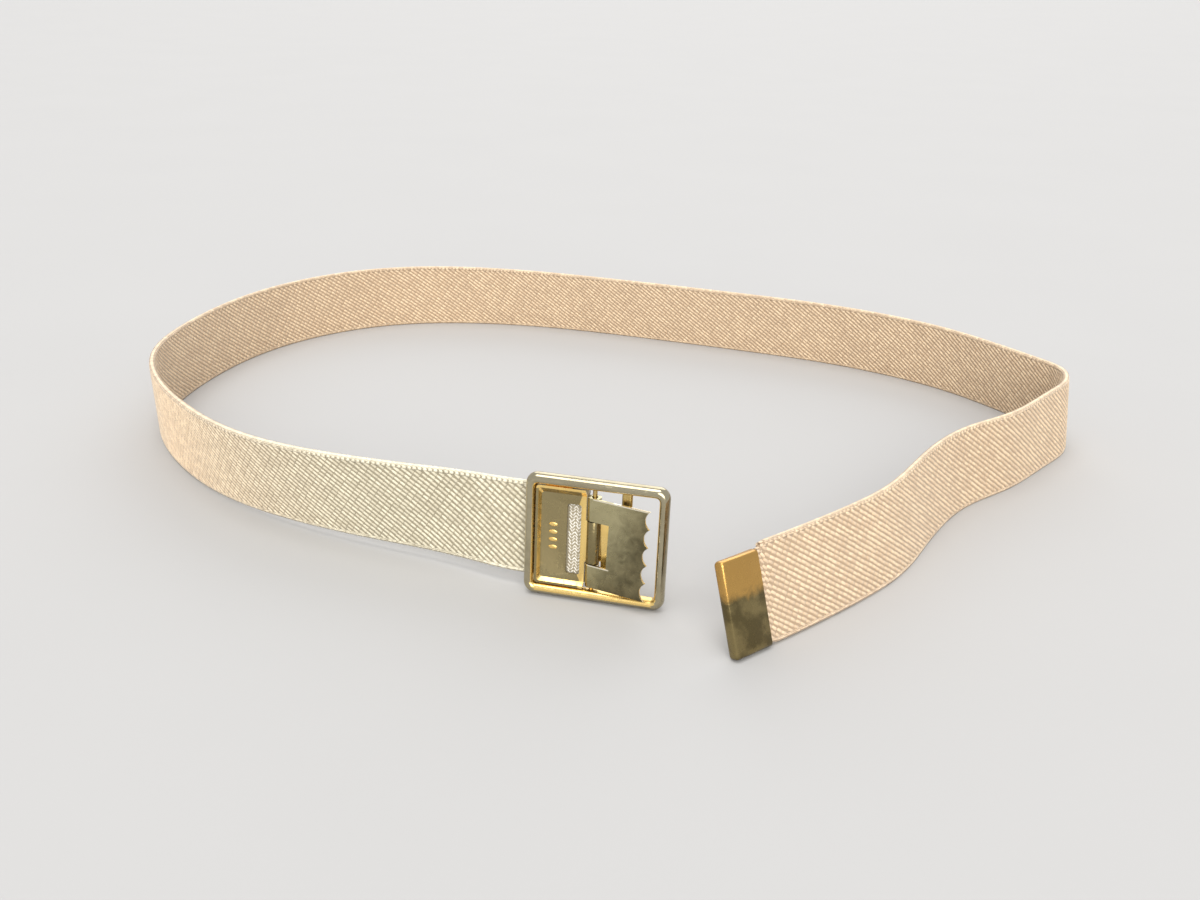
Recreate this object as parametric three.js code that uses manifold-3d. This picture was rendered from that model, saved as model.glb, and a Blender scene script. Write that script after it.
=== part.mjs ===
// Web belt with an open frame buckle, in millimetres, +Z up.
// The belt stands on the long edge of its webbing in an open loop, as it lies unworn.
// The loop's plan is centred on the origin and its lowest edges touch z = 0.

import * as THREE from "three";
import { LoftGeometry } from "three/addons/geometries/LoftGeometry.js";
import { RoundedBoxGeometry } from "three/addons/geometries/RoundedBoxGeometry.js";
import { mergeVertices } from "three/addons/utils/BufferGeometryUtils.js";
import Module from "manifold-3d";

const wasm = await Module();
wasm.setup();

// Clearances
const GAP = 0.3;                // between two pieces that meet
const OVERRUN = 1;              // how far a cutter runs past what it cuts

// Webbing
const WEB_WIDTH = 32;
const WEB_THICK = 2.4;
const SELVEDGE_RADIUS = 0.9;
const SECTION_STEP = 6;         // spacing of the sections along the webbing
const WALK_STEP = 0.5;          // step used to walk the route

// Buckle frame: a cast ring with rounded bars
const FRAME = { width: 47, height: 41.5, windowWidth: 40.4, windowHeight: 34.3 };
const FRAME_OUTER_RADIUS = 3.8;
const FRAME_INNER_RADIUS = 1.2;
const FRAME_BACK = -3.8;        // depths are measured outward from the window's edge
const FRAME_FRONT = 1.2;
const BAR_ROUND = 1.1;
const FRAME_CENTRE = { x: -5.17, y: -131.835, z: 20.91 };
const FRAME_HEADING = -14.65;   // turn of the buckle's length about Z, in degrees
const FRAME_LEAN = 5.55;        // how far its top leans into the loop, in degrees

// Webbing in the buckle
const WEB_DEPTH = -5.3;         // mid-plane of the webbing behind the frame
const WEB_CUT_END = -3.6;       // where the fixed end stops, across the buckle

// Back plate: a stamped tray on the left half of the frame
const SHEET = 0.8;
const FLOOR = { left: -18.4, right: -3.55, bottom: -15.2, top: 14.3, depth: -1.6 };
const TRAY_RIM = { left: -19.9, bottom: -16.85, top: 16.85, depth: 0 };
const TRAY_ROUND = 1.2;         // corner radius in plan
const SLOT = { left: -9.8, right: -5.1, bottom: -12.8, top: 11.2, round: 0.8 };
const TAB = { left: -17, right: -8, inner: 16.3, lip: 4.5, depth: -7.6 };

// Hinge
const HINGE = { across: -1, depth: -2.25, middle: -0.8 };
const PIN_RADIUS = 0.75;
const PIN_REACH = 1.4;          // how far the pin enters each bar
const BARREL_RADIUS = 2.2;
const BORE_RADIUS = PIN_RADIUS + GAP;
const KNUCKLE_LENGTH = 14.2;    // the plate's knuckle, between the lever's two
const CURL_REACH = 4.7;         // how far the knuckle's rolled end runs past the hinge
const CURL_DROP = 2.2;          // how far its lip reaches below the knuckle

// Toothed lever
const LEVER = { reach: 19.7, height: 30.4, open: 11 };
const LEVER_SAG = 1.6;          // how far its sheet is bent askew of the hinge, in degrees
const LEVER_WINDOW = { reach: 6, height: 14.9 };
const TOOTH_COUNT = 4;
const SCALLOP_DEPTH = 1.6;
const SCALLOP_SIDES = 6;

// Cross bar that the free end is threaded round
const CROSS_BAR = { across: 9.6, depth: -2, width: 3.4, thick: 1.7, enter: 1.2 };

// Tip
const TIP = { length: 15, low: -0.2, high: 30.4, thick: 4, wall: 0.5, round: 1.4 };
const TIP_END_SPACE = 1.2;      // from the webbing's end to the tip's outer end
const TIP_DRAW_RUN = 2;         // length over which the webbing's edges draw in before the tip
const TIP_LIFT = 0.35;          // how far the tip holds the webbing's edge off the floor
const TIP_LIFT_RUN = 90;        // length over which the webbing rises into the tip
const FRAME_LIFT_RUN = 255;     // length over which it sinks from the buckle to the floor

// The webbing's route, from its cut end in the buckle to the tip's outer end:
// distance along it and heading in plan, counterclockwise from +X in degrees
const ROUTE = [
  { at: 0, heading: 165.35 },
  { at: 17, heading: 165.35 },
  { at: 37, heading: 152 },
  { at: 68, heading: 158.5 },
  { at: 119, heading: 150.3 },
  { at: 170, heading: 132.5 },
  { at: 221, heading: 116.6 },
  { at: 272, heading: 85.1 },
  { at: 323, heading: 69.5 },
  { at: 384, heading: 41.5 },
  { at: 466, heading: -0.9 },
  { at: 548, heading: -18.3 },
  { at: 629, heading: -21.5 },
  { at: 701, heading: -38.4 },
  { at: 752, heading: -56.9 },
  { at: 777, heading: -58.8 },
  { at: 803, heading: -109.7 },
  { at: 823, heading: -133.1 },
  { at: 844, heading: -132.6 },
  { at: 874, heading: -142.7 },
  { at: 905, heading: -125.7 },
  { at: 935, heading: -120 },
  { at: 976, heading: -136 },
  { at: 1039, heading: -142 },
];

// How far the webbing's top leans to the left of its heading, in degrees
const LEAN = [
  { at: 0, lean: -5.55 },
  { at: 17, lean: -5.55 },
  { at: 68, lean: 5.4 },
  { at: 119, lean: 9.3 },
  { at: 180, lean: 3.9 },
  { at: 262, lean: 0.8 },
  { at: 384, lean: 0.8 },
  { at: 548, lean: -8.7 },
  { at: 711, lean: -8.2 },
  { at: 803, lean: -6.5 },
  { at: 864, lean: -3.8 },
  { at: 915, lean: -10.3 },
  { at: 1039, lean: -18.4 },
];

const ROUTE_LENGTH = ROUTE.at(-1).at;
const radians = THREE.MathUtils.degToRad;
const smooth = (t) => THREE.MathUtils.smoothstep(t, 0, 1);

// Materials
const brass = (name, color, roughness) =>
  new THREE.MeshStandardMaterial({ name, color, roughness, metalness: 1 });
const frameBrass = brass("frame_brass", 0xd9c89a, 0.22);
const plateBrass = brass("plate_brass", 0xb99a52, 0.24);
const leverBrass = brass("lever_brass", 0xa8976a, 0.25);
const tipBrass = brass("tip_brass", 0xa9843f, 0.25);
const webbing = new THREE.MeshStandardMaterial({ name: "webbing", color: 0xcdb595, roughness: 0.95, metalness: 0 });

// A closed geometry becomes a solid that can be joined and cut
function solid(geometry) {
  const bare = new THREE.BufferGeometry().copy(geometry);
  bare.deleteAttribute("normal");
  bare.deleteAttribute("uv");
  const merged = mergeVertices(bare, 1e-4);
  const mesh = new wasm.Mesh({
    numProp: 3,
    vertProperties: new Float32Array(merged.attributes.position.array),
    triVerts: new Uint32Array(merged.index.array),
  });
  return new wasm.Manifold(mesh);
}

function geometryOf(manifold) {
  const mesh = manifold.getMesh();
  const geometry = new THREE.BufferGeometry();
  geometry.setAttribute("position", new THREE.BufferAttribute(mesh.vertProperties, 3));
  geometry.setIndex(new THREE.BufferAttribute(mesh.triVerts, 1));
  geometry.computeVertexNormals();
  return geometry;
}

function piece(name, shape, material) {
  const mesh = new THREE.Mesh(shape.isBufferGeometry ? shape : geometryOf(shape), material);
  mesh.name = name;
  return mesh;
}

// A box between two corners
function block([x0, y0, z0], [x1, y1, z1]) {
  const geometry = new THREE.BoxGeometry(x1 - x0, y1 - y0, z1 - z0);
  geometry.translate((x0 + x1) / 2, (y0 + y1) / 2, (z0 + z1) / 2);
  return solid(geometry);
}

// A round bar along Y
function rod(radius, y0, y1, x, z, sides = 20) {
  const geometry = new THREE.CylinderGeometry(radius, radius, y1 - y0, sides);
  geometry.translate(x, (y0 + y1) / 2, z);
  return solid(geometry);
}

function roundedRectangle(width, height, radius, centreX = 0, centreY = 0) {
  const left = centreX - width / 2;
  const right = centreX + width / 2;
  const bottom = centreY - height / 2;
  const top = centreY + height / 2;
  const shape = new THREE.Shape();
  shape.absarc(right - radius, bottom + radius, radius, -Math.PI / 2, 0, false);
  shape.absarc(right - radius, top - radius, radius, 0, Math.PI / 2, false);
  shape.absarc(left + radius, top - radius, radius, Math.PI / 2, Math.PI, false);
  shape.absarc(left + radius, bottom + radius, radius, Math.PI, Math.PI * 1.5, false);
  return shape;
}

// A slab between two rounded rectangles in planes of constant z
function taperedSlab(low, high, round) {
  const outline = ({ left, right, bottom, top, depth }) =>
    roundedRectangle(right - left, top - bottom, round, (left + right) / 2, (bottom + top) / 2)
      .getPoints(2)
      .map((p) => new THREE.Vector3(p.x, p.y, depth));
  return solid(new LoftGeometry([outline(low), outline(high)], { capStart: true, capEnd: true }));
}

// A curve through the rows of a table that never overshoots between two rows
function monotoneCurve(rows, column) {
  const gaps = rows.slice(1).map((row, i) => row.at - rows[i].at);
  const rises = rows.slice(1).map((row, i) => (row[column] - rows[i][column]) / gaps[i]);
  const endSlope = (near, far, nearGap, farGap) => {
    const slope = ((2 * nearGap + farGap) * near - nearGap * far) / (nearGap + farGap);
    if (slope * near <= 0) return 0;
    const limited = near * far <= 0 && Math.abs(slope) > 3 * Math.abs(near);
    return limited ? 3 * near : slope;
  };
  const slopes = rows.map((row, i) => {
    if (i === 0) return endSlope(rises[0], rises[1], gaps[0], gaps[1]);
    if (i === rows.length - 1) return endSlope(rises.at(-1), rises.at(-2), gaps.at(-1), gaps.at(-2));
    if (rises[i - 1] * rises[i] <= 0) return 0;
    const before = 2 * gaps[i] + gaps[i - 1];
    const after = gaps[i] + 2 * gaps[i - 1];
    return (before + after) / (before / rises[i - 1] + after / rises[i]);
  });
  return (at) => {
    const found = rows.findIndex((row) => row.at > at);
    const i = found < 0 ? rows.length - 2 : Math.max(found - 1, 0);
    const t = (at - rows[i].at) / gaps[i];
    const startWeight = (1 + 2 * t) * (1 - t) ** 2;
    const endWeight = t * t * (3 - 2 * t);
    const startPull = t * (1 - t) ** 2 * gaps[i] * slopes[i];
    const endPull = t * t * (t - 1) * gaps[i] * slopes[i + 1];
    return startWeight * rows[i][column] + endWeight * rows[i + 1][column] + startPull + endPull;
  };
}

const headingAt = monotoneCurve(ROUTE, "heading");
const leanAt = monotoneCurve(LEAN, "lean");

// The buckle's own axes: x across it to the right, y up it, z outward
const buckle = new THREE.Group();
buckle.position.set(FRAME_CENTRE.x, FRAME_CENTRE.y, FRAME_CENTRE.z);
buckle.rotation.set(radians(90 - FRAME_LEAN), 0, radians(FRAME_HEADING), "ZXY");
buckle.updateMatrix();

// Plan points along the route, for the webbing's lower edge
function walkRoute() {
  const start = new THREE.Vector3(WEB_CUT_END, -WEB_WIDTH / 2, WEB_DEPTH).applyMatrix4(buckle.matrix);
  const points = [{ x: start.x, y: start.y }];
  for (let at = WALK_STEP; at <= ROUTE_LENGTH; at += WALK_STEP) {
    const heading = radians(headingAt(at - WALK_STEP / 2));
    const last = points.at(-1);
    points.push({
      x: last.x + WALK_STEP * Math.cos(heading),
      y: last.y + WALK_STEP * Math.sin(heading),
    });
  }
  return { points, startHeight: start.z };
}

const route = walkRoute();
// Height of the webbing's lower edge: held up by the buckle and by the tip
function liftAt(at) {
  const fromFrame = route.startHeight * (1 - smooth(at / FRAME_LIFT_RUN));
  const intoTip = TIP_LIFT * smooth((at - ROUTE_LENGTH + TIP_LIFT_RUN + TIP.length) / TIP_LIFT_RUN);
  return fromFrame + intoTip;
}

// The webbing's frame at a distance along the route: origin on its lower edge,
// x along it, y up its width, z out of its left face
function frameAt(at) {
  const point = route.points[Math.round(at / WALK_STEP)];
  const heading = radians(headingAt(at));
  const lean = radians(leanAt(at));
  const along = new THREE.Vector3(Math.cos(heading), Math.sin(heading), 0);
  const left = new THREE.Vector3(-Math.sin(heading), Math.cos(heading), 0);
  const up = new THREE.Vector3(0, 0, Math.cos(lean)).addScaledVector(left, Math.sin(lean));
  const face = new THREE.Vector3().crossVectors(along, up);
  const flatHalf = WEB_THICK / 2 - SELVEDGE_RADIUS;
  const settle = SELVEDGE_RADIUS * (1 - Math.cos(lean)) + flatHalf * Math.abs(Math.sin(lean));
  const matrix = new THREE.Matrix4().makeBasis(along, up, face);
  return matrix.setPosition(point.x, point.y, liftAt(at) + settle);
}

// Where the webbing's lower and upper edges are, up its width: they draw in to enter the tip
const drawStart = ROUTE_LENGTH - TIP.length - GAP - TIP_DRAW_RUN;
function edgesAt(at) {
  const drawn = smooth((at - drawStart) / TIP_DRAW_RUN);
  const inside = TIP.wall + GAP;
  return [(TIP.low + inside) * drawn, WEB_WIDTH - (WEB_WIDTH - TIP.high + inside) * drawn];
}

// Strap: a rounded section carried along the route
function strapGeometry() {
  const outline = roundedRectangle(WEB_THICK, WEB_WIDTH, SELVEDGE_RADIUS, 0, WEB_WIDTH / 2).getPoints(1);
  const section = (at) => {
    const frame = frameAt(at);
    const [low, high] = edgesAt(at);
    const scale = (high - low) / WEB_WIDTH;
    return outline.map((p) => new THREE.Vector3(0, low + p.y * scale, -p.x).applyMatrix4(frame));
  };
  const count = Math.round(drawStart / SECTION_STEP);
  const places = Array.from({ length: count + 1 }, (_, i) => (drawStart * i) / count);
  const drawEnd = drawStart + TIP_DRAW_RUN;
  const end = ROUTE_LENGTH - TIP_END_SPACE;
  places.push((drawStart + drawEnd) / 2, drawEnd, (drawEnd + end) / 2, end);
  const loft = new LoftGeometry(places.map(section), { capStart: true, capEnd: true });
  return geometryOf(solid(loft));
}

// Buckle frame: a ring with rounded edges, sockets for the pin and the cross bar
function frameSolid() {
  const inset = BAR_ROUND;
  const outer = roundedRectangle(
    FRAME.width - 2 * inset, FRAME.height - 2 * inset, FRAME_OUTER_RADIUS - inset);
  const windowHole = roundedRectangle(
    FRAME.windowWidth + 2 * inset, FRAME.windowHeight + 2 * inset, FRAME_INNER_RADIUS + inset);
  outer.holes.push(windowHole);
  const geometry = new THREE.ExtrudeGeometry(outer, {
    depth: FRAME_FRONT - FRAME_BACK - 2 * BAR_ROUND,
    bevelSize: BAR_ROUND,
    bevelThickness: BAR_ROUND,
    bevelSegments: 3,
    curveSegments: 4,
  });
  geometry.translate(0, 0, FRAME_BACK + BAR_ROUND);
  const wall = FRAME.windowHeight / 2;
  const pinSocket = rod(PIN_RADIUS + GAP / 2, -wall - PIN_REACH, wall + PIN_REACH, HINGE.across, HINGE.depth);
  const barSocket = crossBarBlock(GAP / 2, wall + CROSS_BAR.enter);
  return solid(geometry).subtract(pinSocket).subtract(barSocket);
}

function crossBarBlock(margin, halfLength) {
  const geometry = new RoundedBoxGeometry(
    CROSS_BAR.width + 2 * margin, 2 * halfLength, CROSS_BAR.thick + 2 * margin, 2, CROSS_BAR.thick * 0.45);
  geometry.translate(CROSS_BAR.across, 0, CROSS_BAR.depth);
  return solid(geometry);
}

function crossBarSolid() {
  return crossBarBlock(0, FRAME.windowHeight / 2 + CROSS_BAR.enter - GAP);
}

function pinSolid() {
  const end = FRAME.windowHeight / 2 + PIN_REACH - GAP;
  return rod(PIN_RADIUS, -end, end, HINGE.across, HINGE.depth, 16);
}

// Back plate: sloped walls and a floor with a slot, two tabs folded behind the
// webbing, and a knuckle rolled round the hinge pin
function backPlateSolid() {
  const pastEnd = FLOOR.right + 3 * OVERRUN;
  const under = FLOOR.depth - SHEET;
  const tray = taperedSlab(
    { left: FLOOR.left - GAP, right: pastEnd, bottom: FLOOR.bottom - GAP, top: FLOOR.top + GAP, depth: under },
    { ...TRAY_RIM, right: pastEnd },
    TRAY_ROUND);
  const hollow = taperedSlab(
    { ...FLOOR, right: pastEnd + OVERRUN },
    {
      left: TRAY_RIM.left + SHEET,
      right: pastEnd + OVERRUN,
      bottom: TRAY_RIM.bottom + SHEET,
      top: TRAY_RIM.top - SHEET,
      depth: TRAY_RIM.depth + 0.01,
    },
    TRAY_ROUND - GAP);
  const rightOfFloor = block([FLOOR.right, -FRAME.height, FRAME_BACK], [pastEnd + OVERRUN, FRAME.height, OVERRUN]);
  const slotShape = roundedRectangle(
    SLOT.right - SLOT.left, SLOT.top - SLOT.bottom, SLOT.round,
    (SLOT.left + SLOT.right) / 2, (SLOT.bottom + SLOT.top) / 2);
  const slotGeometry = new THREE.ExtrudeGeometry(slotShape, { depth: 4, bevelEnabled: false, curveSegments: 4 });
  slotGeometry.translate(0, 0, FLOOR.depth - 3);

  let plate = tray.subtract(hollow).subtract(rightOfFloor).subtract(solid(slotGeometry));
  for (const side of [-1, 1]) {
    const outer = side * TRAY_RIM.top;
    const inner = side * TAB.inner;
    const lipEnd = side * (TAB.inner - TAB.lip);
    const span = (a, b, z0, z1) => block([TAB.left, Math.min(a, b), z0], [TAB.right, Math.max(a, b), z1]);
    plate = plate.add(span(inner, outer, TAB.depth, TRAY_RIM.depth - SHEET / 2));
    plate = plate.add(span(lipEnd, outer, TAB.depth, TAB.depth + SHEET));
  }

  const low = HINGE.middle - KNUCKLE_LENGTH / 2;
  const high = HINGE.middle + KNUCKLE_LENGTH / 2;
  const tongue = block([FLOOR.right - OVERRUN, low, FLOOR.depth - SHEET], [HINGE.across, high, FLOOR.depth]);
  const barrel = rod(BARREL_RADIUS, low, high, HINGE.across, HINGE.depth, 24);
  const curlUnder = HINGE.depth - 1.9;
  const curlEnd = block(
    [HINGE.across + 1.4, low, curlUnder],
    [HINGE.across + CURL_REACH, high, curlUnder + SHEET]);
  const curlLip = block(
    [HINGE.across + BARREL_RADIUS + GAP, low - CURL_DROP, curlUnder],
    [HINGE.across + CURL_REACH, high, curlUnder + SHEET]);
  const bore = rod(BORE_RADIUS, low - OVERRUN, high + OVERRUN, HINGE.across, HINGE.depth);
  return plate.add(tongue).add(barrel).add(curlEnd).add(curlLip).subtract(bore);
}

// Toothed lever about its hinge: x along the sheet, y along the hinge, z out of its face
function leverSolid() {
  const half = LEVER.height / 2;
  const pitch = LEVER.height / (TOOTH_COUNT + 1);
  const chord = pitch / 2;
  const radius = (chord ** 2 + SCALLOP_DEPTH ** 2) / (2 * SCALLOP_DEPTH);
  const halfAngle = Math.asin(chord / radius);
  const shape = new THREE.Shape();
  shape.moveTo(0, -half);
  shape.lineTo(LEVER.reach, -half);
  for (let i = 0; i <= TOOTH_COUNT; i += 1) {
    const middle = -half + pitch * (i + 0.5);
    const centreX = LEVER.reach - SCALLOP_DEPTH + radius;
    shape.absarc(centreX, middle, radius, Math.PI + halfAngle, Math.PI - halfAngle, true);
  }
  shape.lineTo(0, half);
  const sheetGeometry = new THREE.ExtrudeGeometry(shape, {
    depth: SHEET,
    bevelEnabled: false,
    curveSegments: SCALLOP_SIDES,
  });
  sheetGeometry.translate(0, 0, BARREL_RADIUS - SHEET);
  const windowCut = block(
    [-BARREL_RADIUS - OVERRUN, -LEVER_WINDOW.height / 2, -BARREL_RADIUS - OVERRUN],
    [LEVER_WINDOW.reach, LEVER_WINDOW.height / 2, BARREL_RADIUS + OVERRUN]);
  const askew = [0, 0, -LEVER_SAG];
  const barrel = rod(BARREL_RADIUS, -half, half, 0, 0, 24);
  const bore = rod(BORE_RADIUS, -half - OVERRUN, half + OVERRUN, 0, 0);
  return solid(sheetGeometry).rotate(askew).add(barrel).subtract(bore).subtract(windowCut.rotate(askew));
}

// Tip: a thin cap with rounded edges, open where the webbing enters.
// Its x runs back along the webbing from its outer end
function tipSolid() {
  const spare = 2 * TIP.round;
  const shell = new RoundedBoxGeometry(TIP.length + spare, TIP.high - TIP.low, TIP.thick, 3, TIP.round);
  shell.translate((TIP.length + spare) / 2, (TIP.low + TIP.high) / 2, 0);
  const mouth = block(
    [TIP.length, -WEB_WIDTH, -TIP.thick],
    [TIP.length + spare + OVERRUN, 2 * WEB_WIDTH, TIP.thick]);
  const pocketHalf = TIP.thick / 2 - TIP.wall;
  const pocket = block(
    [TIP_END_SPACE - GAP, TIP.low + TIP.wall, -pocketHalf],
    [TIP.length + OVERRUN, TIP.high - TIP.wall, pocketHalf]);
  return solid(shell).subtract(mouth).subtract(pocket);
}

const belt = new THREE.Group();
belt.add(piece("strap", strapGeometry(), webbing));

buckle.add(piece("buckle_frame", frameSolid(), frameBrass));
buckle.add(piece("back_plate", backPlateSolid(), plateBrass));
buckle.add(piece("cross_bar", crossBarSolid(), plateBrass));
buckle.add(piece("hinge_pin", pinSolid(), plateBrass));
const lever = piece("toothed_lever", leverSolid(), leverBrass);
lever.position.set(HINGE.across, HINGE.middle, HINGE.depth);
lever.rotation.set(0, radians(-LEVER.open), 0);
buckle.add(lever);
belt.add(buckle);

const tip = new THREE.Group();
const tipFrame = frameAt(ROUTE_LENGTH);
tip.applyMatrix4(tipFrame);
const cap = piece("strap_tip", tipSolid(), tipBrass);
cap.rotation.set(0, Math.PI, 0);
tip.add(cap);
belt.add(tip);

export default belt;
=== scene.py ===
"""Web belt with an open frame buckle: its looks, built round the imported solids.

The belt stands on the long edge of its webbing in an open loop. The webbing is a
core with a twill of raised floats on both faces, and the buckle and tip are brass.
Everything is in metres in the part's own frame; names ending in _mm hold millimetres.
"""

from __future__ import annotations

import logging
import math
from dataclasses import dataclass, replace
from enum import Enum
from typing import Any, Callable

import bmesh
import bpy
from mathutils import Matrix, Vector

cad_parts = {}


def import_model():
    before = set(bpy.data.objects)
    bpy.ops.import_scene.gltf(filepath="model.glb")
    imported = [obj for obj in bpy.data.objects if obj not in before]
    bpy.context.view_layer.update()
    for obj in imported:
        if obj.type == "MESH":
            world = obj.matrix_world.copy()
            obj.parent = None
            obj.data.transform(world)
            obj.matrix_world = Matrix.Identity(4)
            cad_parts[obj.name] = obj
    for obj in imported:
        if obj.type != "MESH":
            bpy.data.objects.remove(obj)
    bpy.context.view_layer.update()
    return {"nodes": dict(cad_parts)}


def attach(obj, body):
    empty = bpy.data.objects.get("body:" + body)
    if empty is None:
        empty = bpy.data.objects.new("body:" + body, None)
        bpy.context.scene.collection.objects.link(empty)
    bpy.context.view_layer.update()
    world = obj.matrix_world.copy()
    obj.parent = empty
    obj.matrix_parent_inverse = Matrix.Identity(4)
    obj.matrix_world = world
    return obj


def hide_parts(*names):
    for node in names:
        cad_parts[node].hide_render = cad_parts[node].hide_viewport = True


LOG = logging.getLogger("web_belt")
MM = 0.001
BUMP_DISTANCE = 0.0002
SHARP_DEG = 32.0  # edges sharper than this are softened, and stay crisp in the shading

Colour = tuple[float, float, float]
Table = tuple[tuple[float, float], ...]
Socket = bpy.types.NodeSocket
Item = bpy.types.Object


# ---------------------------------------------------------------- node trees


class NodeSketch:
    """Adds nodes to one node tree and wires them by the names of their sockets."""

    def __init__(self, tree: bpy.types.NodeTree) -> None:
        """Keep the tree that the nodes go into."""
        self.tree = tree

    def add(self, kind: str, sockets: dict[Any, Any] | None = None,
            **settings: Any) -> bpy.types.Node:
        """Add one node.

        Args:
            kind: The node's type name.
            sockets: Input name or index to a value, or to the socket or node that feeds it.
            settings: Properties of the node itself.

        Returns:
            The new node.
        """
        node = self.tree.nodes.new(kind)
        for name, value in settings.items():
            setattr(node, name, value)
        for key, value in (sockets or {}).items():
            target = self.find(node.inputs, key)
            source = self.find(value.outputs, 0) if isinstance(value, bpy.types.Node) else value
            if isinstance(source, Socket):
                self.tree.links.new(source, target)
            else:
                target.default_value = source
        return node

    @staticmethod
    def find(sockets: Any, key: Any) -> Socket:
        """Return the enabled socket of that name, or the enabled one with that number."""
        live = [socket for socket in sockets if socket.enabled]
        if isinstance(key, int):
            return live[key]
        return next(socket for socket in live if socket.name == key)

    def math(self, operation: str, first: Any, second: Any = 0.0) -> Socket:
        """Return the output of a Math node on two values."""
        alone = operation in ("FLOOR", "FRACT", "SINE", "COSINE")
        sockets = {0: first} if alone else {0: first, 1: second}
        return self.add("ShaderNodeMath", sockets, operation=operation).outputs[0]

    def vectors(self, operation: str, first: Any, second: Any) -> Socket:
        """Return the output of a Vector Math node on two vectors."""
        sockets = {0: first, 1: second}
        return self.add("ShaderNodeVectorMath", sockets, operation=operation).outputs[0]

    def scaled(self, vector: Any, factor: Any) -> Socket:
        """Return a vector times a number."""
        sockets = {"Vector": vector, "Scale": factor}
        return self.add("ShaderNodeVectorMath", sockets, operation="SCALE").outputs[0]

    def spread(self, value: Any, low: float, high: float) -> Socket:
        """Return 0 below one value, 1 above another and a smooth rise between."""
        sockets = {"Value": value, "From Min": low, "From Max": high}
        return self.add("ShaderNodeMapRange", sockets, interpolation_type="SMOOTHSTEP").outputs[0]

    def blended(self, factor: Any, first: Any, second: Any) -> Socket:
        """Return two colours mixed by a factor."""
        sockets = {"Factor": factor, "A": first, "B": second}
        return self.find(self.add("ShaderNodeMix", sockets, data_type="RGBA").outputs, 0)

    def noise(self, place: Any, scale: Any, detail: float, **more: float) -> Socket:
        """Return the number of a Noise Texture, whose further inputs go by their names."""
        sockets = {"Vector": place, "Scale": scale, "Detail": detail} | more
        return self.add("ShaderNodeTexNoise", sockets).outputs["Fac"]

    def bump(self, height: Any, strength: Any) -> Socket:
        """Return the normal of a fine bump."""
        sockets = {"Height": height, "Strength": strength, "Distance": BUMP_DISTANCE}
        return self.add("ShaderNodeBump", sockets).outputs["Normal"]

    def wire(self, target: bpy.types.Node, sources: dict[str, Socket]) -> None:
        """Link sockets to a node's inputs by the inputs' names."""
        for name, source in sources.items():
            self.tree.links.new(source, target.inputs[name])


def new_group(name: str, kind: str, inputs: dict[str, str],
              outputs: dict[str, str]) -> tuple[NodeSketch, bpy.types.Node, bpy.types.Node]:
    """Start a node group with named sockets.

    Args:
        name: The group's name.
        kind: "ShaderNodeTree" or "GeometryNodeTree".
        inputs: Socket name to its type, such as "Float".
        outputs: The same for what the group gives.

    Returns:
        A sketch of the group, its input node and its output node.
    """
    tree = bpy.data.node_groups.new(name, kind)
    for way, sockets in (("INPUT", inputs), ("OUTPUT", outputs)):
        for label, socket in sockets.items():
            tree.interface.new_socket(label, in_out=way, socket_type="NodeSocket" + socket)
    sketch = NodeSketch(tree)
    return sketch, sketch.add("NodeGroupInput"), sketch.add("NodeGroupOutput")


# ------------------------------------------------------------------- finishes


def rgba(colour: Colour) -> tuple[float, float, float, float]:
    """Return a colour with full alpha."""
    return (*colour, 1.0)


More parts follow.
